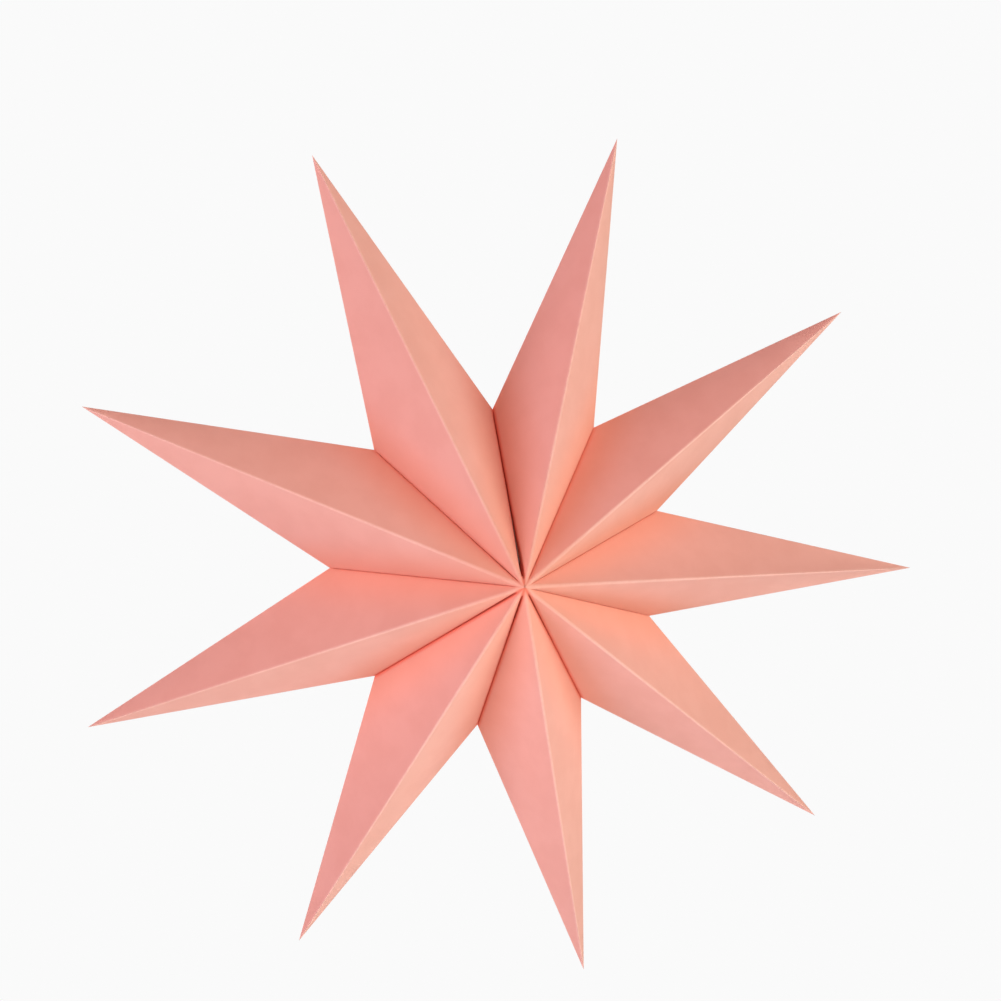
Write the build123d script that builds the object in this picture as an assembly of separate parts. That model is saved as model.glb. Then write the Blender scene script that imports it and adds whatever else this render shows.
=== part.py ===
from build123d import *
import os
from math import cos, hypot, radians, sin, sqrt, tan

# An open paper star: nine folded card points, glued side by side round the Y axis. Millimetres.
# The star faces -Y, its closing seam points straight up, and the origin is the middle of the star.

# Star
tip_radius = 150.0          # from the axis to the tips: 300 mm across
valley_radius = 57.2        # from the axis to the corners between two points
half_depth = 38.0           # from the middle plane to the front centre, and to the back centre

# The star is opened by hand, so its points are a little uneven. One row a point, clockwise from the
# closing seam as seen from the front: the opening before its ridge and after it, as shares of an even
# half point, then the reach of its tip and of the valley after it, as shares of the radii above.
point_shares = (
    (0.97, 0.91, 1.00, 1.00),
    (1.05, 0.87, 0.99, 1.00),
    (1.03, 0.93, 1.00, 0.97),
    (0.97, 1.03, 1.01, 0.97),
    (0.93, 1.05, 1.02, 1.00),
    (0.96, 1.09, 1.00, 1.03),
    (0.97, 1.04, 1.00, 1.06),
    (1.05, 1.02, 1.00, 1.07),
    (1.13, 1.01, 1.01, 0.96),
)

# Card
card_thickness = 0.35
ridge_fold_radius = 0.65    # inside of the ridge and side folds at the star's middle, dying out at the tip
valley_fold_radius = 1.0    # outside of the fold between facet and flap, dying out at the centre
fold_strips = 6             # flat strips that make up the curve of a fold
flap_width = 8.0            # glue flaps along the valley edges
flap_slit = 0.6             # between a front flap and the back flap beside it
flap_end_gap = 3.0          # from the ends of the flaps to the axis
tab_width = 9.0             # glued tab that closes the card under its back ridge
tab_tip_gap = 40.0          # from the end of that tab to the tip

# Closing seam
closing_gap = 0.3           # between the first and the last point, filled by the tape
tape_margin = 2.0           # from the tape to the edges and ends of the flaps

overrun = 1.0               # past a face, for every cut


def corner(angle, reach):
    """The outer corner of a valley, at an angle from the ridge."""
    return Vector(reach * sin(radians(angle)), 0, reach * cos(radians(angle)))


def fold_curve(edge, first_way, last_way, radius):
    """Points round a fold, from the face that leaves the edge one way to the face that leaves it the other."""
    half_angle = radians(first_way.get_angle(last_way)) / 2
    centre = edge + (first_way + last_way).normalized() * (radius / sin(half_angle))
    touch = radius / tan(half_angle)
    first = edge + first_way * touch - centre
    last = edge + last_way * touch - centre
    turn = radians(first.get_angle(last))
    points = []
    for strip in range(fold_strips + 1):
        part = turn * strip / fold_strips
        points.append(centre + (first * sin(turn - part) + last * sin(part)) / sin(turn))
    return points


def pyramid(outline, apex):
    """The solid between a flat outline and an apex."""
    return loft([make_face(Polyline(*outline, close=True)).face(), Vertex(*apex)], ruled=True)


def inner_side(angle, inset):
    """The space on the ridge's side of a valley plane, moved in by an inset."""
    space = 2 * tip_radius
    align_x = Align.MAX if angle > 0 else Align.MIN
    block = Box(space, space, space, align=(align_x, Align.CENTER, Align.CENTER))
    inward = -inset if angle > 0 else inset
    return Rot(0, angle, 0) * Pos(inward, 0, 0) * block


def valley_round(angle, reach, centre, tip, inset):
    """What the rounded fold takes off the edge between a facet and its flap."""
    end = corner(angle, reach)
    along = (end - centre).normalized()

    def across(target):
        """The direction from the edge to a point of one of its two faces."""
        step = target - centre
        return (step - along * step.dot(along)).normalized()

    facet_way = across(tip)
    flap_way = across(Vector(0, 0, 0))
    outside = end - (facet_way + flap_way).normalized() * valley_fold_radius
    outline = fold_curve(end, facet_way, flap_way, valley_fold_radius) + [outside]
    side_move = inset / sin(radians(facet_way.get_angle(flap_way)))
    return Pos(facet_way * side_move) * pyramid(outline, centre)


def folded_point(tip_reach, sides):
    """One card point with its tip on +Z. A side is its angle, its valley's reach and its inset."""
    tip = Vector(0, 0, tip_reach)
    centres = (Vector(0, -half_depth, 0), Vector(0, half_depth, 0))
    # All four facets run through the tip, so the point is a cone over a kite, drawn on the star's axis
    half_widths = []
    for angle, reach, inset in sides:
        valley = corner(angle, reach)
        half_widths.append(valley.X / (1 - valley.Z / tip_reach))
    before, after = half_widths
    kite = (Vector(after, 0), centres[1], Vector(before, 0), centres[0])

    def kite_cone(radius, drops):
        """The cone of the facets, moved in so that each side drops by its share of the cone's height."""
        outline = []
        for number, edge in enumerate(kite):
            ways = [(kite[number - 1] - edge).normalized(), (kite[(number + 1) % len(kite)] - edge).normalized()]
            outline += fold_curve(edge, *ways, radius)
        drop_before, drop_after = drops
        move_x = (drop_before - drop_after) / (1 / after - 1 / before)
        move_z = -tip_reach * (drop_after + move_x / after)
        return Pos(move_x, 0, move_z) * pyramid(outline, tip)

    def facet_drops(depth):
        """Drops that move every facet in by a depth."""
        return [depth * sqrt(1 / w**2 + 1 / half_depth**2 + 1 / tip_reach**2) for w in half_widths]

    body = kite_cone(ridge_fold_radius + card_thickness, (0, 0))
    for angle, reach, inset in sides:
        body &= inner_side(angle, inset)
        for centre in centres:
            body -= valley_round(angle, reach, centre, tip, inset)

    # The space inside: between the facets and flaps, through the windows, past the flaps' ends and slits
    inside = kite_cone(ridge_fold_radius, facet_drops(card_thickness))
    window_drops = [flap_width * hypot(1 / reach, 1 / half_depth) for angle, reach, inset in sides]
    space = kite_cone(ridge_fold_radius, window_drops)
    between = None
    for angle, reach, inset in sides:
        side = inner_side(angle, inset + card_thickness)
        between = side if between is None else between & side
        across = 2 * (inset + card_thickness + overrun)
        slit = Box(across, flap_slit, 2 * reach)
        end = Box(across, 2 * half_depth, 2 * flap_end_gap)
        space += Rot(0, angle, 0) * (slit + end)
    space = inside & (space + between)

    # The tab lies under the back facet after the ridge and fills a card's depth of that space
    ridge = (tip - centres[1]).normalized()
    facet_edge = corner(*sides[1][:2]) - centres[1]
    facet_way = (facet_edge - ridge * facet_edge.dot(ridge)).normalized()
    tab_start = flap_width + sides[1][1]
    tab_length = tip_reach - tab_tip_gap - tab_start
    tab_align = (Align.MIN, Align.MIN, Align.MIN)
    tab = Box(tab_width * facet_way.X, half_depth, tab_length, align=tab_align)
    tab = Pos(0, 0, tab_start) * tab
    tab -= kite_cone(ridge_fold_radius, facet_drops(2 * card_thickness))
    return body - (space - tab)


def closing_tape(reach, facing):
    """The strip between the two closing flaps, at the front (facing -1) or at the back (facing 1)."""
    edge = hypot(reach, half_depth)
    along = Vector(0, -facing * half_depth / edge, reach / edge)
    inward = Vector(0, -facing * reach / edge, -half_depth / edge)
    centre = Vector(0, facing * half_depth, 0)
    near = tape_margin
    far = flap_width - tape_margin
    # The flap's ends are the gap round the axis and the slit in the middle plane
    start = far * half_depth / reach + flap_end_gap * edge / reach + tape_margin
    finish = edge - far * reach / half_depth - flap_slit * edge / half_depth - tape_margin
    corners = []
    for depth, length in ((near, start), (near, finish), (far, finish), (far, start)):
        corners.append(centre + along * length + inward * depth)
    outline = make_face(Polyline(*corners, close=True))
    return extrude(outline, closing_gap / 2, dir=(1, 0, 0), both=True)


os.makedirs("parts", exist_ok=True)

even_half = 360 / sum(before + after for before, after, tip, valley in point_shares)
last_number = len(point_shares)
closing_reach = valley_radius * point_shares[-1][-1]
turn = 0
reach_before = closing_reach
for number, (before_share, after_share, tip_share, valley_share) in enumerate(point_shares, 1):
    reach_after = valley_radius * valley_share
    inset_before = closing_gap / 2 if number == 1 else 0
    inset_after = closing_gap / 2 if number == last_number else 0
    side_before = (-before_share * even_half, reach_before, inset_before)
    side_after = (after_share * even_half, reach_after, inset_after)
    turn += before_share * even_half
    point = folded_point(tip_radius * tip_share, (side_before, side_after))
    export_step(Rot(0, turn, 0) * point, f"parts/point_{number}.step")
    turn += after_share * even_half
    reach_before = reach_after

export_step(closing_tape(closing_reach, -1), "parts/closing_tape_front.step")
export_step(closing_tape(closing_reach, 1), "parts/closing_tape_back.step")
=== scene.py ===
from math import cos, hypot, pi, radians, sin, sqrt, tan

import bmesh
import bpy
import numpy as np
from mathutils import Matrix, Vector


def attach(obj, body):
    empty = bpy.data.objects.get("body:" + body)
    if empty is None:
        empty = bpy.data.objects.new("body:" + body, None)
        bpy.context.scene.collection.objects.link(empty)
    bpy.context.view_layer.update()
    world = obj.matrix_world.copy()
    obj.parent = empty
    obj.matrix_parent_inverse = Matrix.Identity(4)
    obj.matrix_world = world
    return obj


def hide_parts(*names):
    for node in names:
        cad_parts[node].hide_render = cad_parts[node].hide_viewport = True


# An open paper star of nine folded card points. Metres, in the frame of the solids: the star faces -Y,
# its closing seam points up, and the origin is its middle.

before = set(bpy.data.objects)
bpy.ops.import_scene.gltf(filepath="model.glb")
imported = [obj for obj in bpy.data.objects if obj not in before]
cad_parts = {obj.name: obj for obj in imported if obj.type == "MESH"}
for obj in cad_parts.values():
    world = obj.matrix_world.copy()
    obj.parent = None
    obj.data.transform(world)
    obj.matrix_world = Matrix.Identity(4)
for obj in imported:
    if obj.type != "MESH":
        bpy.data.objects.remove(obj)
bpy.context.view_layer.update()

# Star, as in the solids
tip_radius = 0.150
valley_radius = 0.0572
half_depth = 0.038
card_thickness = 0.00035
ridge_fold_radius = 0.001       # outside of the ridge and side folds at the star's middle
flap_width = 0.008
flap_slit = 0.0006
flap_end_gap = 0.003
tab_width = 0.009
tab_tip_gap = 0.040
closing_gap = 0.0003

# One row a point, clockwise from the closing seam as seen from the front: the opening before its ridge
# and after it, as shares of an even half point, then the reach of its tip and of the valley after it.
point_shares = (
    (0.97, 0.91, 1.00, 1.00),
    (1.05, 0.87, 0.99, 1.00),
    (1.03, 0.93, 1.00, 0.97),
    (0.97, 1.03, 1.01, 0.97),
    (0.93, 1.05, 1.02, 1.00),
    (0.96, 1.09, 1.00, 1.03),
    (0.97, 1.04, 1.00, 1.06),
    (1.05, 1.02, 1.00, 1.07),
    (1.13, 1.01, 1.01, 0.96),
)

# How wide the valley after each point opens, as shares of the widest, which is the closing seam
opening_shares = (0.10, 0.01, 0.01, 0.25, 0.42, 0.48, 0.03, 0.10, 1.00)

# Folds and bows of the card
valley_fold_radius = 0.0013     # outside of the folds between facets and flaps
closing_fold_radius = 0.0016    # the same at the closing seam, where nothing pulls the fold tight
fold_start = 0.006              # the valley folds grow to their full radius over this length
fold_gap = 0.00024              # how far the folds of the widest valley stand apart, in front of their flaps
centre_gap = 0.0011             # how much further they stand apart near the centre, where they gape most
gape_at = 0.007                 # from the centre to that place
centre_pinch = 0.002            # a valley shuts over this length at the centre
corner_pinch = 0.004            # and over this length at its outer corner
facet_bow = 0.0004              # how far a facet bows out or in at its middle
bow_seed = 9

# Which facets bow, in the order of the ring: the glued tab keeps the back facet after the ridge flat
bow_shares = (1, 0, 1, 1)

# Grid of the card
facet_columns = 28
fold_columns = 8
facet_rows = 30
fold_rows = 6
flap_rows = 4
tab_sink_share = 0.2            # how much of its thickness the glued tab shares with the card
meet_passes = 2                 # passes that find where a line of points ends in its valley
tip_edges = facet_columns       # a point where more edges meet than this is a tip
weld_distance = 0.000002
sharp_angle = radians(40)
tip_sharp_angle = radians(2)

# Card: colours, noises, the pale crease along a ridge, which is partly worn pigment and partly a painted
# highlight, and two painted tints that stand for the light that passes between card and card. A painted
# warm glow reaches far out of each valley. A painted deep red shade stays close, and grows with the
# valley's opening up to a share of the widest. A noise is its cells a metre, its detail and its roughness,
# and a range is the part of a noise over which the look changes.
card_colour = (0.85, 0.43, 0.365, 1)
card_light_colour = (0.875, 0.455, 0.39, 1)
# the pale of worn fibre and creases; on the ridges it is partly a painted highlight
worn_and_highlight_colour = (0.94, 0.58, 0.51, 1)
# painted deep red shade close to each valley, and a painted warm glow further out
painted_red_colour = (0.86, 0.20, 0.13, 1)
painted_glow_colour = (0.93, 0.36, 0.23, 1)
cloud_noise = (90, 3, 0.55)
cloud_range = (0.35, 0.65)
fibre_noise = (2600, 4, 0.7)
fibre_range = (0.3, 0.7)
# patches in the pale crease, which is partly wear and partly a painted highlight
wear_and_highlight_noise = (700, 3, 0.6)
wear_and_highlight_range = (0.25, 0.6)
grain_share = 0.08
crease_width = 0.0009           # from the ridge to the edge of the crease, at the star's middle
crease_narrowing_share = 0.4    # how much narrower it is at the tip
crease_core_share = 0.3         # how much of its width is palest
crease_faint_share = 0.3
crease_strong_share = 0.6
# the painted deep red shade by the valleys, and the painted warm glow further out
painted_red_width = 0.0012
painted_red_full_share = 0.95
painted_red_full_opening_share = 0.25
painted_glow_width = 0.014
painted_glow_share = 0.45
card_roughness = 0.88
card_gloss = 0.25
fibre_strength = 0.25
fibre_depth = 0.0001

# Tape
tape_colour = (0.85, 0.83, 0.78, 1)
tape_dark_colour = (0.74, 0.71, 0.65, 1)
tape_noise = (1800, 3, 0.6)
tape_range = (0.35, 0.7)
tape_roughness = 0.7
tape_clearness = 0.85
tape_strength = 0.3
tape_depth = 0.0001

# Camera, at the photograph's viewing angle
image_side_px = 1001
focal_px = 1300
camera_place = Vector((-0.0664, -0.4372, 0.0867))
camera_aim = Vector((0.0002, 0, 0.0231))
camera_roll = radians(4.65)
camera_near = 0.01

# Light: soft lamps round the front of the star, a warm one above, and one behind it. Each row is a name,
# a place, a power in watts and a colour.
lamp_size = 1.0
lamp_rows = (
    ("lamp_right", Vector((1.06, -0.75, 0)), 12.7, (0.94, 1.0, 0.87)),
    ("lamp_left", Vector((-1.18, -0.55, 0)), 11.4, (1.0, 0.82, 0.90)),
    ("lamp_below", Vector((0, -0.55, -1.18)), 6.1, (0.96, 1.0, 0.99)),
    ("lamp_above", Vector((0, -1.06, 0.75)), 7.0, (1.0, 0.62, 0.58)),
    ("lamp_behind", Vector((-0.35, 1.20, 0.40)), 22.0, (1.0, 0.98, 0.96)),
)
world_light = (0.03, 0.03, 0.03, 1)
background_white = (0.957, 0.957, 0.957, 1)

# Floor, well below the hanging star
floor_radius = 1.6
floor_fade_radius = 0.7
floor_drop = 1.4
floor_corners = 96
floor_colour = (0.88, 0.88, 0.87, 1)
floor_light_colour = (0.92, 0.92, 0.91, 1)
floor_noise = (3, 2, 0.5)
floor_roughness = 0.9


def unit(vector):
    """A vector of length one."""
    return vector / np.linalg.norm(vector)


def eased(share):
    """A share that leaves 0 and reaches 1 slowly."""
    return share**2 * (3 - 2 * share)


def turned(first, last, steps):
    """Vectors of one length that turn from first to last, in even steps, first and last included."""
    angle = np.arccos(np.clip(np.dot(unit(first), unit(last)), -1, 1))
    shares = np.linspace(0, 1, steps + 1)[:, None]
    return (first * np.sin((1 - shares) * angle) + last * np.sin(shares * angle)) / sin(angle)


def rounded(corner, first_way, last_way, radius, steps):
    """Points round a corner, from the face that leaves it one way to the face that leaves it the other."""
    half_angle = np.arccos(np.dot(first_way, last_way)) / 2
    centre = corner + unit(first_way + last_way) * (radius / sin(half_angle))
    touch = radius / tan(half_angle)
    return centre + turned(corner + first_way * touch - centre, corner + last_way * touch - centre, steps)


class Side:
    """One side of a point: its valley's angle from the ridge, the valley's reach and what closes it."""

    def __init__(self, sign, angle, reach, closing, opening_share, tip_reach):
        self.gap = closing_gap / 2 if closing else 0
        self.reach = reach
        self.opening_share = opening_share
        # how much of the painted deep red shade this valley takes
        self.painted_red_amount = min(opening_share / painted_red_full_opening_share, 1)
        self.full_fold_radius = closing_fold_radius if closing else valley_fold_radius
        self.corner = np.array((sign * reach * sin(angle), 0, reach * cos(angle)))
        self.half_width = self.corner[0] / (1 - self.corner[2] / tip_reach)
        self.radial = unit(self.corner)
        self.inward = np.array((-sign * cos(angle), 0, sin(angle)))
        self.edge_length = hypot(reach, half_depth)

    def ways(self, facing, tip):
        """Unit vectors across the valley edge: along the facet, and along the flap."""
        centre = np.array((0, facing * half_depth, 0))
        along = unit(self.corner - centre)

        def across(target):
            step = target - centre
            return unit(step - along * np.dot(step, along))

        return across(tip), across(np.zeros(3))

    def gapes(self, distance):
        """How far flap and fold stand back from the valley plane, at a distance from the centre."""
        to_corner = max(self.edge_length - distance, 0)
        pinch_share = eased(min(distance / centre_pinch, to_corner / corner_pinch, 1))
        place = distance / gape_at
        stand_off = (fold_gap + centre_gap * place * np.exp(1 - place)) / 2
        return self.gap * pinch_share, stand_off * self.opening_share * pinch_share

    def fold_radius(self, distance):
        """Outside radius of the fold between facet and flap, at a distance from the centre."""
        return self.full_fold_radius * (1 - np.exp(-distance / fold_start))


class CardPoint:
    """The card of one point, its tip on +Z: four facets, their folds and four glue flaps."""

    def __init__(self, tip_reach, before, after, bows):
        self.tip_reach = tip_reach
        self.tip = np.array((0, 0, tip_reach))
        self.before = before
        self.after = after
        self.bows = bows

    def ring(self, radius):
        """The rounded kite round the star's middle: its points, and each one's facet and share of that."""
        corners = [
            np.array((0, -half_depth)),
            np.array((self.after.half_width, 0)),
            np.array((0, half_depth)),
            np.array((self.before.half_width, 0)),
        ]
        arcs = []
        for number, corner in enumerate(corners):
            back = unit(corners[number - 1] - corner)
            ahead = unit(corners[(number + 1) % len(corners)] - corner)
            arcs.append(rounded(corner, back, ahead, radius, fold_columns))
        spread = (1 - np.cos(np.linspace(0, pi, facet_columns + 1))) / 2
        points, facets, shares = [], [], []
        for number, arc in enumerate(arcs):
            start = arc[-1]
            finish = arcs[(number + 1) % len(arcs)][0]
            for step, point in enumerate(arc[:-1]):
                is_past_fold = step >= fold_columns // 2
                points.append(point)
                facets.append(number if is_past_fold else (number - 1) % len(arcs))
                shares.append(0.0 if is_past_fold else 1.0)
            for share in spread[:-1]:
                points.append(start + (finish - start) * share)
                facets.append(number)
                shares.append(share)
        return np.array(points), facets, shares

    def skin(self, depth):
        """Rows of points from the tip to the flaps' free edges, a depth below the card's outside."""
        ring, facets, shares = self.ring(ridge_fold_radius - depth)
        wide = [self.before.half_width, self.after.half_width]
        drops = [depth * sqrt(1 / w**2 + 1 / half_depth**2 + 1 / self.tip_reach**2) for w in wide]
        move_x = (drops[0] - drops[1]) / (1 / wide[1] - 1 / wide[0])
        move_z = -self.tip_reach * (drops[1] + move_x / wide[1])
        apex = self.tip + np.array((move_x, 0, move_z))
        columns = []
        for (x, y), facet, share in zip(ring, facets, shares):
            ray = np.array((x, y, -self.tip_reach))
            # Facets 0 and 1 lie after the ridge, and 0 and 3 at the front
            side = self.after if facet in (0, 1) else self.before
            facing = -1 if facet in (0, 3) else 1
            edge = self.meet(apex, ray, depth)
            columns.append(self.column(apex, edge, side, facing, depth, facet, share))
        return np.array(columns)

    def meet(self, apex, ray, depth):
        """Where a line from the apex meets the nearer valley plane, moved in by its gape and a depth."""
        share = 1.0
        for _ in range(meet_passes):
            place = apex + ray * share
            distance = hypot(hypot(place[0], place[2]), half_depth - abs(place[1]))
            found = []
            for side in (self.before, self.after):
                fold_gape = side.gapes(distance)[1]
                room = np.dot(apex, side.inward) - fold_gape - depth
                found.append(room / -np.dot(ray, side.inward))
            share = min(found)
        return apex + ray * share

    def column(self, apex, edge, side, facing, depth, facet, share):
        """One line of points: down a facet from the tip, round the valley fold and across the flap."""
        facet_way, flap_way = side.ways(facing, self.tip)
        half_angle = np.arccos(np.dot(facet_way, flap_way)) / 2
        centre = np.array((0, facing * half_depth, 0))
        distance = np.linalg.norm(edge - centre)
        radial = np.dot(edge, side.radial)
        sunk = np.dot(edge - side.inward * np.dot(edge, side.inward) - centre, flap_way)
        width = min(
            flap_width - sunk,
            (abs(edge[1]) - flap_slit / 2) / abs(flap_way[1]),
            (radial - flap_end_gap) / abs(np.dot(flap_way, side.radial)),
        )
        width = max(width, 0)
        radius = max(side.fold_radius(distance) - depth, 0)
        touch = min(radius / tan(half_angle), width / 2)
        facet_end = edge + facet_way * touch
        down = np.linspace(0, 1, facet_rows + 1)[:, None]
        points = apex + (facet_end - apex) * down
        normal = unit(np.cross(facet_way, unit(side.corner - centre)))
        normal = normal * np.sign(normal[1] * facing)
        swell = np.sin(pi * share) * np.sin(pi * down)
        points = points + normal * (self.bows[facet] * facet_bow) * swell
        if touch > 0:
            fold = rounded(edge, facet_way, flap_way, touch * tan(half_angle), fold_rows)[1:]
        else:
            fold = np.repeat(facet_end[None], fold_rows, 0)
        flap_gape, fold_gape = side.gapes(distance)
        out = np.linspace(0, 1, flap_rows + 1)[1:, None]
        closing = side.inward * (fold_gape - flap_gape) * (1 - (1 - out)**2)
        flap = fold[-1] + flap_way * (width - touch) * out - closing
        return np.concatenate((points, fold, flap))

    def tab(self):
        """Corners and faces of the glued tab, which lies flat under the back facet after the ridge."""
        wide = self.after.half_width
        steepness = sqrt(1 / wide**2 + 1 / half_depth**2 + 1 / self.tip_reach**2)
        centre = np.array((0, half_depth, 0))
        ridge = unit(self.tip - centre)
        across = self.after.corner - centre
        far_x = tab_width * unit(across - ridge * np.dot(across, ridge))[0]
        start = flap_width + self.after.reach
        finish = self.tip_reach - tab_tip_gap
        corners = []
        for depth in ((1 - tab_sink_share) * card_thickness, 2 * card_thickness):
            for x, z in ((0, start), (far_x, start), (far_x, finish), (0, finish)):
                y = half_depth * (1 - x / wide - z / self.tip_reach - depth * steepness)
                corners.append((x, y, z))
        faces = [(0, 1, 2, 3), (7, 6, 5, 4), (0, 4, 5, 1), (1, 5, 6, 2), (2, 6, 7, 3), (3, 7, 4, 0)]
        return np.array(corners), faces


def crease_wear_and_highlight_places(points, tip_reach):
    """How far across the pale crease of the nearest ridge each point lies: 0 on the ridge, 1 at its edge.
    The crease is partly worn pigment and partly a painted highlight.
    """
    narrowing = 1 - crease_narrowing_share * np.clip(points[:, 2] / tip_reach, 0, 1)
    return np.abs(points[:, 0]) / (crease_width * narrowing)


def painted_valley_places(points, card):
    """How far out of the nearer valley each point lies: 0 in the valley, 1 where its painted deep red shade
    ends.
    """
    return np.minimum(points @ card.before.inward, points @ card.after.inward) / painted_red_width


def painted_valley_reds(points, card):
    """How much of the painted deep red shade the nearer valley of each point has."""
    is_before = points @ card.before.inward < points @ card.after.inward
    return np.where(is_before, card.before.painted_red_amount, card.after.painted_red_amount)


def card_mesh(name, card, turn):
    """The mesh of one card: its outside and inside skins, joined at the flaps' free edges, and its tab."""
    outside = card.skin(0)
    inside = card.skin(card_thickness)
    tab, tab_faces = card.tab()
    columns, rows = outside.shape[:2]
    points = np.concatenate((outside.reshape(-1, 3), inside.reshape(-1, 3), tab))
    size = columns * rows
    faces = []
    for column in range(columns):
        beside = (column + 1) % columns
        for row in range(rows - 1):
            a, b = column * rows + row, beside * rows + row
            faces.append((a, b, b + 1, a + 1))
            faces.append((size + a, size + a + 1, size + b + 1, size + b))
        a, b = column * rows + rows - 1, beside * rows + rows - 1
        faces.append((a, b, size + b, size + a))
    for face in tab_faces:
        faces.append(tuple(2 * size + number for number in face))
    mesh = bpy.data.meshes.new(name)
    mesh.from_pydata(points.tolist(), [], faces)
    point_values = {
        "crease_wear_and_highlight_place": crease_wear_and_highlight_places(points, card.tip_reach),
        "painted_valley_place": painted_valley_places(points, card),
        "painted_valley_red": painted_valley_reds(points, card),
    }
    for value_name, values in point_values.items():
        attribute = mesh.attributes.new(value_name, "FLOAT", "POINT")
        attribute.data.foreach_set("value", values.astype(np.float32))
    mesh.transform(Matrix.Rotation(turn, 4, "Y"))
    return mesh


def tidy_mesh(mesh):
    """Joins points that coincide, drops faces with no area and marks the edges that stay sharp."""
    work = bmesh.new()
    work.from_mesh(mesh)
    bmesh.ops.remove_doubles(work, verts=work.verts, dist=weld_distance)
    bmesh.ops.dissolve_degenerate(work, edges=work.edges, dist=weld_distance)
    bmesh.ops.recalc_face_normals(work, faces=work.faces)
    for face in work.faces:
        face.smooth = True
    for edge in work.edges:
        # At a tip, shallow folds stay sharp too
        at_tip = any(len(vert.link_edges) > tip_edges for vert in edge.verts)
        edge.smooth = edge.calc_face_angle() < (tip_sharp_angle if at_tip else sharp_angle)
    work.to_mesh(mesh)
    work.free()


def build_points():
    """All nine points, in place of their solids."""
    even_half = 2 * pi / sum(before + after for before, after, tip, valley in point_shares)
    draws = np.random.default_rng(bow_seed)
    turn = 0
    reach_before = valley_radius * point_shares[-1][-1]
    open_before = opening_shares[-1]
    pieces = []
    for number, (before_share, after_share, tip_share, valley_share) in enumerate(point_shares, 1):
        tip_reach = tip_radius * tip_share
        reach_after = valley_radius * valley_share
        is_first = number == 1
        is_last = number == len(point_shares)
        open_after = opening_shares[number - 1]
        before = Side(-1, before_share * even_half, reach_before, is_first, open_before, tip_reach)
        after = Side(1, after_share * even_half, reach_after, is_last, open_after, tip_reach)
        turn += before_share * even_half
        bows = draws.uniform(-1, 1, len(bow_shares)) * bow_shares
        card = CardPoint(tip_reach, before, after, bows)
        mesh = card_mesh(f"card_point_{number}", card, turn)
        tidy_mesh(mesh)
        piece = bpy.data.objects.new(mesh.name, mesh)
        bpy.context.scene.collection.objects.link(piece)
        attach(piece, "root")
        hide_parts(f"point_{number}")
        pieces.append(piece)
        turn += after_share * even_half
        reach_before = reach_after
        open_before = open_after
    return pieces


class Nodes:
    """Short calls for building a material's node tree."""

    def __init__(self, name):
        self.material = bpy.data.materials.new(name)
        self.material.use_nodes = True
        self.tree = self.material.node_tree
        self.shader = self.tree.nodes["Principled BSDF"]
        self.output = self.tree.nodes["Material Output"]
        self.place = self.add("ShaderNodeTexCoord").outputs["Object"]

    def add(self, kind):
        """A new node."""
        return self.tree.nodes.new(kind)

    def feed(self, source, target):
        """A link where the source is a socket, and a plain value otherwise."""
        if isinstance(source, bpy.types.NodeSocket):
            self.tree.links.new(source, target)
        else:
            target.default_value = source

    def noise(self, scale, detail, roughness):
        """A noise texture that is fixed to the piece, with scale in cells a metre."""
        node = self.add("ShaderNodeTexNoise")
        sources = (("Vector", self.place), ("Scale", scale), ("Detail", detail), ("Roughness", roughness))
        for socket, source in sources:
            self.feed(source, node.inputs[socket])
        return node.outputs["Fac"]

    def remap(self, value, low, high, to_low, to_high):
        """A value between low and high, carried smoothly to between to_low and to_high."""
        node = self.add("ShaderNodeMapRange")
        node.interpolation_type = "SMOOTHSTEP"
        sources = (value, low, high, to_low, to_high)
        for socket, source in zip(("Value", "From Min", "From Max", "To Min", "To Max"), sources):
            self.feed(source, node.inputs[socket])
        return node.outputs["Result"]

    def mix(self, share, first, second):
        """A colour between two others."""
        node = self.add("ShaderNodeMix")
        node.data_type = "RGBA"
        self.feed(share, node.inputs["Factor"])
        for socket, source in (("A", first), ("B", second)):
            target = [i for i in node.inputs if i.name == socket and i.type == "RGBA"][0]
            self.feed(source, target)
        return [o for o in node.outputs if o.type == "RGBA"][0]

    def attribute(self, name):
        """A value that the mesh holds at each of its points."""
        node = self.add("ShaderNodeAttribute")
        node.attribute_name = name
        return node.outputs["Fac"]

    def times(self, first, second):
        """Two values multiplied."""
        node = self.add("ShaderNodeMath")
        node.operation = "MULTIPLY"
        self.feed(first, node.inputs[0])
        self.feed(second, node.inputs[1])
        return node.outputs["Value"]

    def bump(self, height, strength, distance):
        """A normal that follows a height."""
        node = self.add("ShaderNodeBump")
        for socket, source in (("Height", height), ("Strength", strength), ("Distance", distance)):
            self.feed(source, node.inputs[socket])
        return node.outputs["Normal"]

    def set_shader(self, **values):
        """Sets the shader's own sockets, named with underscores."""
        for socket, source in values.items():
            self.feed(source, self.shader.inputs[socket.replace("_", " ")])


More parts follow.
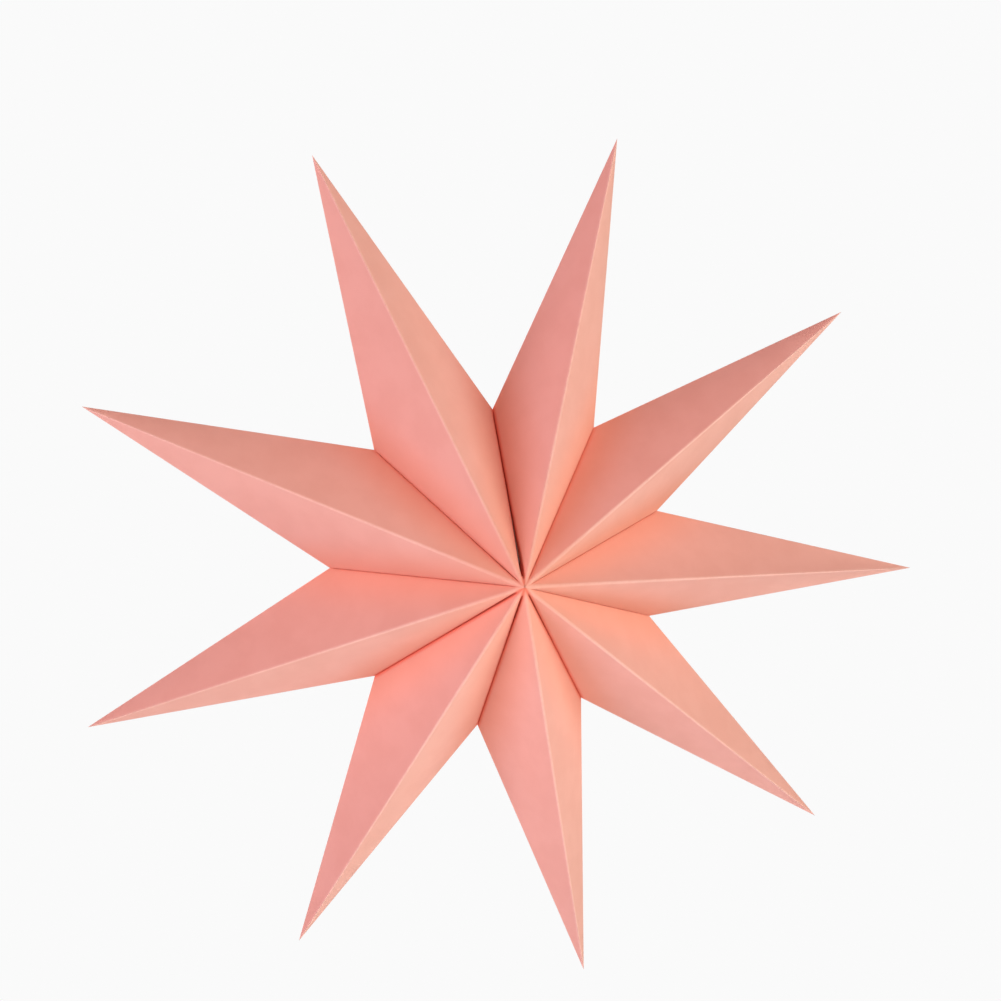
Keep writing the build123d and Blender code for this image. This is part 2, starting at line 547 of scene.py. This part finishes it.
def card_material():
    """Dyed card: fine fibre, a faint cloud in its colour, pale creased ridges that are partly worn and
    partly a painted highlight, and a painted warm glow and deep red shade in the valleys.
    """
    nodes = Nodes("dyed_card_and_painted_light")
    cloud = nodes.noise(*cloud_noise)
    fibre = nodes.noise(*fibre_noise)
    dye_and_painted_light = nodes.mix(nodes.remap(cloud, *cloud_range, 0, 1), card_colour, card_light_colour)
    dye_and_painted_light = nodes.mix(nodes.remap(fibre, *fibre_range, 0, grain_share), dye_and_painted_light, worn_and_highlight_colour)
    # the pale crease along each ridge: partly worn pigment, partly a painted highlight
    crease = nodes.remap(nodes.attribute("crease_wear_and_highlight_place"), crease_core_share, 1, 1, 0)
    wear_and_highlight = nodes.noise(*wear_and_highlight_noise)
    patchy = nodes.remap(wear_and_highlight, *wear_and_highlight_range, crease_faint_share, crease_strong_share)
    dye_and_painted_light = nodes.mix(nodes.times(crease, patchy), dye_and_painted_light, worn_and_highlight_colour)
    # painted light that passes between card and card: a warm glow far out of each valley, a deep red shade
    # close in
    painted_valley_place = nodes.attribute("painted_valley_place")
    warm = nodes.remap(painted_valley_place, 0, painted_glow_width / painted_red_width, painted_glow_share, 0)
    dye_and_painted_light = nodes.mix(warm, dye_and_painted_light, painted_glow_colour)
    painted_red_fade = nodes.remap(painted_valley_place, 0, 1, painted_red_full_share, 0)
    dye_and_painted_light = nodes.mix(nodes.times(painted_red_fade, nodes.attribute("painted_valley_red")), dye_and_painted_light, painted_red_colour)
    nodes.set_shader(Base_Color=dye_and_painted_light, Roughness=card_roughness, Specular_IOR_Level=card_gloss)
    nodes.set_shader(Normal=nodes.bump(fibre, fibre_strength, fibre_depth))
    return nodes.material


def tape_material():
    """Off-white tape with fine cells, which lets the card's colour through."""
    nodes = Nodes("tape")
    cells = nodes.noise(*tape_noise)
    colour = nodes.mix(nodes.remap(cells, *tape_range, 0, 1), tape_dark_colour, tape_colour)
    nodes.set_shader(Base_Color=colour, Roughness=tape_roughness, Transmission_Weight=tape_clearness)
    nodes.set_shader(Normal=nodes.bump(cells, tape_strength, tape_depth))
    return nodes.material


def floor_material():
    """A pale floor that the camera sees fade into the background towards its rim."""
    nodes = Nodes("pale_floor")
    cloud = nodes.noise(*floor_noise)
    colour = nodes.mix(cloud, floor_colour, floor_light_colour)
    nodes.set_shader(Base_Color=colour, Roughness=floor_roughness)
    length = nodes.add("ShaderNodeVectorMath")
    length.operation = "LENGTH"
    nodes.feed(nodes.place, length.inputs[0])
    fade = nodes.remap(length.outputs["Value"], floor_fade_radius, floor_radius, 0, 1)
    seen = nodes.add("ShaderNodeLightPath").outputs["Is Camera Ray"]
    glow = nodes.add("ShaderNodeEmission")
    nodes.feed(background_white, glow.inputs["Color"])
    mix = nodes.add("ShaderNodeMixShader")
    nodes.feed(nodes.times(fade, seen), mix.inputs["Fac"])
    nodes.feed(nodes.shader.outputs["BSDF"], mix.inputs[1])
    nodes.feed(glow.outputs["Emission"], mix.inputs[2])
    nodes.feed(mix.outputs["Shader"], nodes.output.inputs["Surface"])
    return nodes.material


def add_floor():
    """A plain round floor."""
    work = bmesh.new()
    bmesh.ops.create_circle(work, cap_ends=True, segments=floor_corners, radius=floor_radius)
    mesh = bpy.data.meshes.new("floor")
    work.to_mesh(mesh)
    work.free()
    mesh.materials.append(floor_material())
    floor = bpy.data.objects.new("floor", mesh)
    floor.location.z = -floor_drop
    bpy.context.scene.collection.objects.link(floor)


def add_camera():
    """The camera, turned to its aim and then rolled."""
    data = bpy.data.cameras.new("camera")
    data.lens = data.sensor_width * focal_px / image_side_px
    data.clip_start = camera_near
    camera = bpy.data.objects.new("camera", data)
    look = (camera_aim - camera_place).to_track_quat("-Z", "Y").to_matrix().to_4x4()
    camera.matrix_world = Matrix.Translation(camera_place) @ look @ Matrix.Rotation(-camera_roll, 4, "Z")
    bpy.context.scene.collection.objects.link(camera)
    bpy.context.scene.camera = camera


def add_lamp(name, place, power, colour):
    """A soft round lamp that faces the star's middle, and that the camera doesn't see."""
    data = bpy.data.lights.new(name, "AREA")
    data.shape = "DISK"
    data.size = lamp_size
    data.energy = power
    data.color = colour
    lamp = bpy.data.objects.new(name, data)
    lamp.location = place
    lamp.visible_camera = False
    lamp.rotation_euler = (-place).to_track_quat("-Z", "Y").to_euler()
    bpy.context.scene.collection.objects.link(lamp)


def add_world():
    """A little light from all round, and a plain white background for what the camera sees."""
    world = bpy.data.worlds.new("studio")
    world.use_nodes = True
    bpy.context.scene.world = world
    tree = world.node_tree
    tree.nodes.clear()
    light = tree.nodes.new("ShaderNodeBackground")
    light.inputs["Color"].default_value = world_light
    white = tree.nodes.new("ShaderNodeBackground")
    white.inputs["Color"].default_value = background_white
    path = tree.nodes.new("ShaderNodeLightPath")
    seen = path.outputs["Is Camera Ray"]
    for ray in ("Is Glossy Ray", "Is Transmission Ray"):
        either = tree.nodes.new("ShaderNodeMath")
        either.operation = "MAXIMUM"
        tree.links.new(seen, either.inputs[0])
        tree.links.new(path.outputs[ray], either.inputs[1])
        seen = either.outputs["Value"]
    mix = tree.nodes.new("ShaderNodeMixShader")
    output = tree.nodes.new("ShaderNodeOutputWorld")
    tree.links.new(seen, mix.inputs["Fac"])
    tree.links.new(light.outputs["Background"], mix.inputs[1])
    tree.links.new(white.outputs["Background"], mix.inputs[2])
    tree.links.new(mix.outputs["Shader"], output.inputs["Surface"])


dyed_card_and_painted_light = card_material()
for card_piece in build_points():
    card_piece.data.materials.append(dyed_card_and_painted_light)
tape = tape_material()
for tape_name in ("closing_tape_front", "closing_tape_back"):
    tape_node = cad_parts[tape_name]
    tape_node.data.materials.clear()
    tape_node.data.materials.append(tape)
add_floor()
add_camera()
for lamp_row in lamp_rows:
    add_lamp(*lamp_row)
add_world()
bpy.context.scene.view_settings.view_transform = "Standard"
